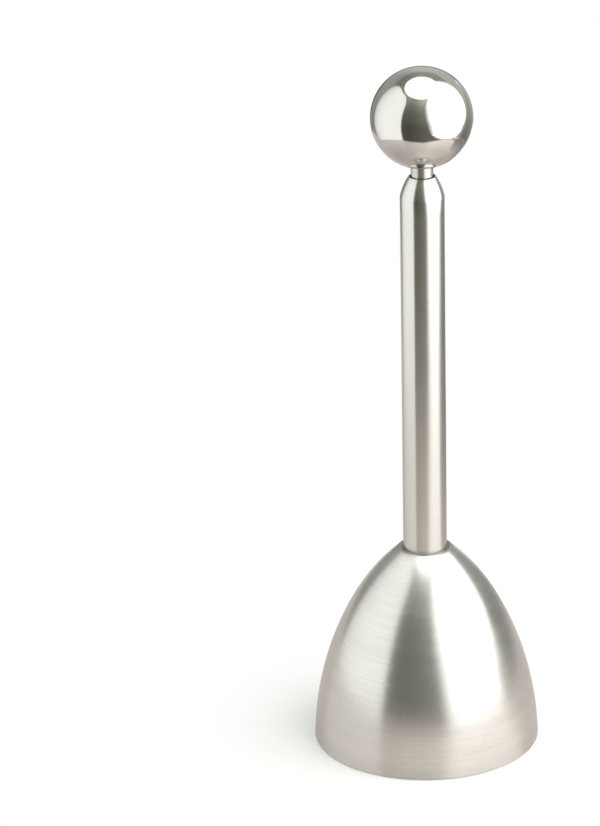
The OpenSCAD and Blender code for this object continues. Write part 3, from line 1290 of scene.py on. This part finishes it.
@dataclass
class SpringSet(SubAssembly):
    """The compression spring and the loose washer under it."""

    foot_z: float
    bush_foot: float
    washer_t: float = 0.5
    washer_inner_r: float = 2.06
    washer_outer_r: float = 3.4
    coil_r: float = 2.85
    wire_r: float = 0.4
    turns: int = 20
    end_turns: float = 1.5
    end_pitch: float = 1.25
    end_gap: float = 0.05
    steps_a_turn: int = 32
    wire_sides: int = 12
    pull: float = 22.0
    washer_ease: float = 0.08

    def build(self) -> None:
        """Builds the washer and the spring."""
        seat = self.foot_z + self.washer_t
        washer = ring(self.washer_inner_r, self.washer_outer_r, self.foot_z, seat,
                      self.washer_ease)
        self.shop.add("spring_washer", washer, "washer_steel", Body.SPRING_END, "spring_seat")
        room = self.bush_foot - seat
        rise = room - 2 * (self.wire_r + self.end_gap)
        free_pitch = (rise - 2 * self.end_turns * self.end_pitch) / (
            self.turns - 2 * self.end_turns)
        spring = self.shop.coil.run(
            "coil_spring", [], self.shop.materials["spring_wire"],
            Steps=self.turns * self.steps_a_turn, Steps_A_Turn=float(self.steps_a_turn),
            Turns=float(self.turns), End_Turns=self.end_turns, End_Pitch=self.end_pitch * MM,
            Free_Pitch=free_pitch * MM, Coil_Radius=self.coil_r * MM,
            Wire_Radius=self.wire_r * MM, Wire_Sides=self.wire_sides,
            Foot=(seat + self.end_gap + self.wire_r) * MM)
        self.shop.fit(spring, Body.HANDLE, "return_spring", "spring_wire")
        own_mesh(spring)


# ---------------------------------------------------------------------------------------------
# Studio


def round_point(azimuth: float, reach: float, height: float) -> tuple[float, ...]:
    """Gives a point about the axis.

    Args:
        azimuth: its azimuth in degrees, with 0 to the front and 90 to the right.
        reach: its distance from the axis.
        height: its height.

    Returns:
        The point.
    """
    angle = math.radians(azimuth)
    return (reach * math.sin(angle), -reach * math.cos(angle), height)


def card_stations(*rows: Sequence[float], near: float | None = None,
                  far: float | None = None) -> tuple[Station, ...]:
    """Gives the stations of a card from rows that leave out a limit they all share.

    Args:
        *rows: the azimuth, the limits that differ and the share of the glow of each station.
        near: the near limit that they all share, if they do.
        far: the far limit that they all share, if they do.

    Returns:
        The stations.
    """
    stations = []
    for azimuth, *limits, share in rows:
        first = [] if near is None else [near]
        last = [] if far is None else [far]
        stations.append((azimuth, *first, *limits, *last, share))
    return tuple(stations)


@dataclass(frozen=True)
class GlowCard:
    """A card or panel of the light tent, which glows a little more or less from place to place.

    Each station holds an azimuth, the card's near and far limits in millimetres and a share of
    its glow there, and columns stand at most a step apart between the stations. The ramp holds
    places between the limits and the share of the glow at each. Where soft is set, the glow
    goes over to soft_share of itself at the card's edges, in a strip that wide at its limits.
    """

    name: str
    glow: Color
    stations: tuple[Station, ...]
    ramp: tuple[tuple[float, float], ...] = ((0.0, 1.0),)
    soft: float = 0.0
    soft_share: float = 0.1
    step: float = 3.0
    rows: int = 20

    def build(self) -> Shape:
        """Builds the card, which lights and is mirrored but isn't seen by the camera.

        Returns:
            The card.
        """
        points: list[tuple[float, ...]] = []
        glows: list[float] = []
        columns = self._columns()
        for i, (azimuth, near, far, share) in enumerate(columns):
            ends = self.soft and i in (0, len(columns) - 1)
            for t, edge in self._rows(near, far):
                reach = near + (far - near) * t
                dim = self.soft_share if ends or edge else 1.0
                points.append(self._point(azimuth, reach))
                glows += [c * share * dim * self._share(reach) for c in self.glow] + [1.0]
        rows = len(points) // len(columns)
        faces = [(i * rows + k, (i + 1) * rows + k, (i + 1) * rows + k + 1, i * rows + k + 1)
                 for i in range(len(columns) - 1) for k in range(rows - 1)]
        card = mesh_object(self.name, points, faces, self._material())
        layer = card.data.color_attributes.new("glow", "FLOAT_COLOR", "POINT")
        layer.data.foreach_set("color", glows)
        card.visible_camera = False
        return card

    def _columns(self) -> list[tuple[float, ...]]:
        """Gives the stations and the steps between them.

        Returns:
            The columns, at most a step apart.
        """
        columns: list[tuple[float, ...]] = []
        for first, second in zip(self.stations, self.stations[1:]):
            count = max(1, math.ceil((second[0] - first[0]) / self.step))
            columns += [tuple(p + (q - p) * i / count for p, q in zip(first, second))
                        for i in range(count)]
        return columns + [tuple(self.stations[-1])]

    def _rows(self, near: float, far: float) -> list[tuple[float, bool]]:
        """Gives the places of a column's points between its limits.

        A soft edge takes up a third of the way at most.

        Args:
            near: the near limit.
            far: the far limit.

        Returns:
            Each place as a share of the way, and whether it is on the card's soft edge.
        """
        soft = self.soft / max(far - near, 3 * self.soft, 1.0)
        inner = [(soft + (1 - 2 * soft) * i / self.rows, False) for i in range(self.rows + 1)]
        if not self.soft:
            return inner
        return [(0.0, True)] + inner + [(1.0, True)]

    def _share(self, reach: float) -> float:
        """Reads the ramp.

        Args:
            reach: a place between the limits.

        Returns:
            The share of the glow there.
        """
        if reach <= self.ramp[0][0]:
            return self.ramp[0][1]
        for (a, low), (b, high) in zip(self.ramp, self.ramp[1:]):
            if reach <= b:
                return low + (high - low) * (reach - a) / (b - a)
        return self.ramp[-1][1]

    def _point(self, azimuth: float, reach: float) -> tuple[float, ...]:
        """Gives the place of a point of the card.

        Args:
            azimuth: its azimuth in degrees.
            reach: its place between the limits.

        Returns:
            The point.
        """
        raise NotImplementedError

    def _material(self) -> bpy.types.Material:
        """Builds a plain glow of the card's own brightness.

        Returns:
            The material.
        """
        made = bpy.data.materials.new(self.name)
        maker = TreeMaker.fresh(made)
        layer = maker.add("ShaderNodeAttribute", attribute_name="glow")
        light = maker.add("ShaderNodeEmission", {"Color": layer.outputs["Color"]})
        maker.add("ShaderNodeOutputMaterial", {"Surface": self._surface(maker, light)})
        return made

    def _surface(self, maker: TreeMaker, light: bpy.types.Node) -> bpy.types.Node:
        """Gives the card's surface, which is its glow alone."""
        return light


@dataclass(frozen=True)
class WallPanel(GlowCard):
    """An upright panel of the round tent, whose limits are heights."""

    radius: float = 175.0

    def _point(self, azimuth: float, reach: float) -> tuple[float, ...]:
        """Gives the point of the wall at an azimuth and a height."""
        return round_point(azimuth, self.radius, reach)


@dataclass(frozen=True)
class SideFlag(WallPanel):
    """A low panel close by, which is mirrored but neither lights nor shades the floor."""

    radius: float = 180.0


@dataclass(frozen=True)
class FadePanel(GlowCard):
    """A panel that fades in along the wall, with stations by height and limits by azimuth."""

    radius: float = 353.0
    step: float = 30.0

    def _point(self, azimuth: float, reach: float) -> tuple[float, ...]:
        """Gives the point of the wall at a height, the station's place, and an azimuth."""
        return round_point(reach, self.radius, azimuth)


@dataclass(frozen=True)
class FloorCard(GlowCard):
    """A card that lies on the floor, whose limits are distances from the axis."""

    height: float = 0.3

    def _point(self, azimuth: float, reach: float) -> tuple[float, ...]:
        """Gives the point of the card at an azimuth and a distance."""
        return round_point(azimuth, reach, self.height)


@dataclass(frozen=True)
class TableCard(FloorCard):
    """The table's glow, with a sheen that mirrors the tent in flat views along it."""

    steep_sheen: float = 0.04
    sheen: float = 0.25
    sheen_rough: float = 0.25
    flatness: tuple[float, float] = (0.15, 0.63)

    def _surface(self, maker: TreeMaker, light: bpy.types.Node) -> bpy.types.Node:
        """Adds the sheen to the card's glow.

        Args:
            maker: the material's maker.
            light: the glow.

        Returns:
            The surface.
        """
        facing = maker.add("ShaderNodeLayerWeight").outputs["Facing"]
        color = maker.spread(facing, *self.flatness, self.steep_sheen, self.sheen, smooth=False)
        mirror = maker.add("ShaderNodeBsdfGlossy", {"Color": color,
                                                    "Roughness": self.sheen_rough})
        return maker.add("ShaderNodeAddShader", {0: light, 1: mirror})


@dataclass
class Studio:
    """The camera, the pale floor, and a round light tent of soft panels, flags and cards.

    Lengths are in millimetres and angles in degrees, and the focal length is in pixels of the
    photograph's frame. The floor is white beyond the end of its fade.
    """

    focal_px: float = 4000.0
    frame_px: tuple[int, int] = (600, 826)
    camera_at: tuple[float, float, float] = (-22.48, -675.13, 329.40)
    pitch: float = 21.437
    roll: float = -1.157
    floor_half: float = 6000.0
    lid_at: tuple[float, float, float] = (3.0, -12.0, 400.0)
    lid_r: float = 164.0
    lid_glow: float = 2.2
    floor_color: Color = (0.92, 0.91, 0.90)
    floor_fade: tuple[float, float] = (19.0, 58.0)
    panels: tuple[GlowCard, ...] = field(default_factory=lambda: (
        WallPanel("left_softbox", (1.3, 1.34, 1.32), (
            (-131, 60, 215, 0.35), (-126, 10, 285, 0.6), (-119, 0, 330, 0.8),
            (-109, 0, 362, 0.91), (-97, 0, 376, 0.98), (-80, 0, 376, 1.02), (-66, 0, 372, 1),
            (-58, 0, 348, 1), (-51.5, 0, 308, 1), (-48.4, 0, 275, 1), (-46.4, 3, 235, 1)),
                  soft=5.0, soft_share=0.4),
        WallPanel("right_softbox", (2.2, 2.22, 2.2), (
            (19.4, 330, 390, 1), (20.2, 240, 430, 1), (21.6, 182, 490, 1), (25, 120, 560, 1),
            (27, 58, 590, 1), (32, -30, 660, 1), (37, -30, 760, 1),
            (60, -30, 760, 1), (96, -30, 760, 1), (100, 14, 760, 1), (105, 40, 760, 1),
            (110, 72, 760, 1), (115, 109, 760, 1), (119, 145, 760, 0.9), (124, 202, 760, 0.8),
            (129, 285, 760, 0.65), (132.5, 388, 760, 0.5), (134.5, 503, 760, 0.4)),
                  radius=350.0),
        FadePanel("softbox_fade", (2.2, 2.22, 2.2), (
            (-30, 18, 60, 1), (58, 13, 55, 1), (120, 11, 53, 1), (182, 7.5, 49.5, 1),
            (247, 6, 48, 1), (322, 5.4, 47, 1), (414, 5.4, 47, 1), (537, 9, 51, 1),
            (650, 17, 59, 1), (760, 22, 64, 1)), soft=14.0),
        WallPanel("front_flag", (0.36, 0.375, 0.31), card_stations(
            (-78, 0.6), (-45, 0.62), (-30, 0.56), (-15, 0.7), (0, 0.98), (12, 1.1), (78, 1.1),
            near=-1, far=1600),
                  ramp=((0, 0.42), (120, 0.46), (243, 0.62), (375, 0.66), (524, 0.84),
                        (707, 1.1), (954, 1.6)), radius=700.0),
        WallPanel("back_flag", (0.62, 0.63, 0.58), card_stations(
            (78, 0.95), (150, 0.95), (180, 1.05), (200, 0.68), (225, 0.62), (282, 0.7),
            near=-1, far=800),
                  ramp=((0, 0.75), (120, 0.88), (240, 1.0), (395, 1.0), (440, 0.62),
                        (800, 0.62)), radius=362.0),
        WallPanel("back_spot", (0.13, 0.13, 0.11), card_stations(
            (160, 1), (204, 1), near=-1, far=150), radius=355.0, soft=40.0, soft_share=3.0),
        SideFlag("side_flag", (0.33, 0.335, 0.31), (
            (83, 4, 26, 3.6), (87, -1, 33, 2.7), (92, -1, 40, 1.9), (97, -1, 51, 1.45),
            (104, -1, 67, 0.95), (112, -1, 94, 0.75), (120, -1, 122, 0.75),
            (128, -1, 146, 0.8), (138, -1, 160, 0.87), (150, -1, 160, 1.0), (158, -1, 140, 1.3)),
                 ramp=((0, 0.8), (50, 1.0), (100, 1.45), (150, 1.6)), soft=12.0,
                 soft_share=2.0),
        TableCard("table_card", (0.84, 0.775, 0.725), card_stations(
            (-180, 300, 0.68), (-165, 300, 0.7), (-150, 300, 0.62), (-135, 240, 0.65),
            (-120, 210, 0.62), (-105, 195, 0.6), (-90, 186, 0.62), (-75, 186, 0.65),
            (-60, 186, 0.68), (-45, 180, 0.72), (-30, 161, 0.79), (-15, 152, 0.9),
            (0, 147, 0.94), (15, 158, 0.97), (30, 170, 0.93), (45, 180, 0.9), (60, 180, 0.87),
            (75, 176, 0.84), (90, 160, 0.78), (105, 150, 0.72), (120, 150, 0.66),
            (150, 150, 0.67), (165, 200, 0.7), (180, 300, 0.68), near=20.84),
                  # Next to the bell's rim the table's glow is lower, a painted contact shadow.
                  ramp=((20.8, 0.78), (23.5, 0.9), (34, 1.0), (70, 1.0), (100, 1.06),
                        (143, 1.12), (186, 1.15)), height=0.05),
        FloorCard("table_end", (0.62, 0.58, 0.55), card_stations(
            (88, 1.1), (100, 1.0), (120, 0.97), (150, 0.95), (166, 1.0), near=97, far=181),
                  ramp=((97, 1.0), (143, 0.66), (171, 0.5), (181, 0.5)), height=0.2),
        FloorCard("front_gap", (0.14, 0.145, 0.115), card_stations(
            (-50, 180, 0.7), (-30, 159, 0.65), (0, 146, 1.05), (14, 156, 1.15), (50, 182, 1.2),
            far=700)),
        FloorCard("left_gap", (0.42, 0.43, 0.38), card_stations(
            (-180, 299, 0.9), (-150, 299, 0.7), (-135, 239, 0.8), (-129, 226, 0.9), far=362)),
        FloorCard("right_gap", (0.42, 0.43, 0.38), card_stations(
            (50, 179, 1), (75, 175, 1), (90, 159, 1), (105, 149, 1), (140, 149, 0.9),
            (158, 170, 0.8), far=362), height=0.15),
        FloorCard("softbox_foot", (2.2, 2.22, 2.2), card_stations(
            (19, 338, 1), (23, 272, 1), (28, 232, 1), (35, 202, 1), (45, 180, 1), (62, 171, 1),
            (74, 175, 1), (84, 200, 1), (92, 240, 1), (99, 306, 1), far=352),
                  soft=24.0, height=0.6),
    ))

    def place_camera(self) -> None:
        """Places the camera at the photograph's viewing angle and distance."""
        lens = bpy.data.cameras.new("photo_camera")
        lens.sensor_fit = "VERTICAL"
        lens.sensor_height = 24.0
        lens.lens = self.focal_px / self.frame_px[1] * lens.sensor_height
        camera = link("photo_camera", lens)
        pitch, roll = math.radians(self.pitch), math.radians(self.roll)
        ahead = Vector((0, math.cos(pitch), -math.sin(pitch)))
        right = Vector((1, 0, 0))
        up = right.cross(ahead)
        c, s = math.cos(roll), math.sin(roll)
        axes = Matrix((right * c + up * s, up * c - right * s, -ahead)).transposed()
        camera.matrix_world = Matrix.Translation(Vector(self.camera_at) * MM) @ axes.to_4x4()
        bpy.context.scene.camera = camera

    @staticmethod
    def _seen(maker: TreeMaker) -> Socket:
        """Gives a mask of the rays that see the background: camera, glossy and transmission.

        Args:
            maker: the tree's maker.

        Returns:
            The mask.
        """
        path = maker.add("ShaderNodeLightPath").outputs
        return maker.math("MAXIMUM", path["Is Camera Ray"], maker.math(
            "MAXIMUM", path["Is Glossy Ray"], path["Is Transmission Ray"]))

    def light_world(self) -> None:
        """Makes the world white where it is seen, and leaves the lighting to the tent."""
        world = bpy.data.worlds.new("studio")
        bpy.context.scene.world = world
        maker = TreeMaker.fresh(world)
        sky = maker.add("ShaderNodeBackground", {
            "Color": (1.0, 1.0, 1.0, 1.0), "Strength": self._seen(maker)})
        maker.add("ShaderNodeOutputWorld", {"Surface": sky})

    def lay_floor(self) -> None:
        """Lays the pale floor, which keeps the object's shadow and is white further off."""
        made = bpy.data.materials.new("pale_floor")
        maker = TreeMaker.fresh(made)
        place = maker.add("ShaderNodeTexCoord").outputs["Object"]
        edge = maker.spread(maker.reach(place), *(r * MM for r in self.floor_fade))
        mix = maker.add("ShaderNodeMixShader", {
            0: maker.times(edge, self._seen(maker)),
            1: maker.add("ShaderNodeBsdfDiffuse", {"Color": (*self.floor_color, 1.0)}),
            2: maker.add("ShaderNodeEmission")})
        maker.add("ShaderNodeOutputMaterial", {"Surface": mix})
        half = self.floor_half
        floor = mesh_object("floor", [(-half, -half, 0), (half, -half, 0), (half, half, 0),
                                      (-half, half, 0)], [(0, 1, 2, 3)], made)

    def raise_tent(self) -> None:
        """Raises the tent's panels, flags and cards, and hangs a round lamp over them."""
        for panel in self.panels:
            card = panel.build()
            if isinstance(panel, (FloorCard, SideFlag)):
                card.visible_diffuse = False
                card.visible_shadow = False
        lamp = bpy.data.lights.new("overhead", "AREA")
        lamp.shape, lamp.size = "DISK", 2 * self.lid_r * MM
        # A disc that glows evenly sends out its glow times pi times its area.
        lamp.energy = self.lid_glow * math.pi * math.pi * (self.lid_r * MM) ** 2
        link("overhead", lamp).location = Vector(self.lid_at) * MM

    def build(self) -> None:
        """Builds the camera, the light and the floor."""
        bpy.context.scene.view_settings.view_transform = "Standard"
        self.place_camera()
        self.light_world()
        self.lay_floor()
        self.raise_tent()
        LOG.info("studio ready: %d panels and cards", len(self.panels))


def main() -> None:
    """Builds the studio and the sub-assemblies in order."""
    logging.basicConfig(level=logging.INFO, format="%(name)s: %(message)s")
    Studio().build()
    shop = Workshop()
    bell = Bell(shop)
    bell.build()
    handle = Handle(shop, foot_z=bell.seat_z)
    handle.build()
    plunger = Plunger(shop, nose_tip_z=handle.tip_z, anvil_z=handle.anvil_z)
    plunger.build()
    SpringSet(shop, foot_z=plunger.striker_top, bush_foot=handle.bush_foot).build()


if __name__ == "__main__":
    main()
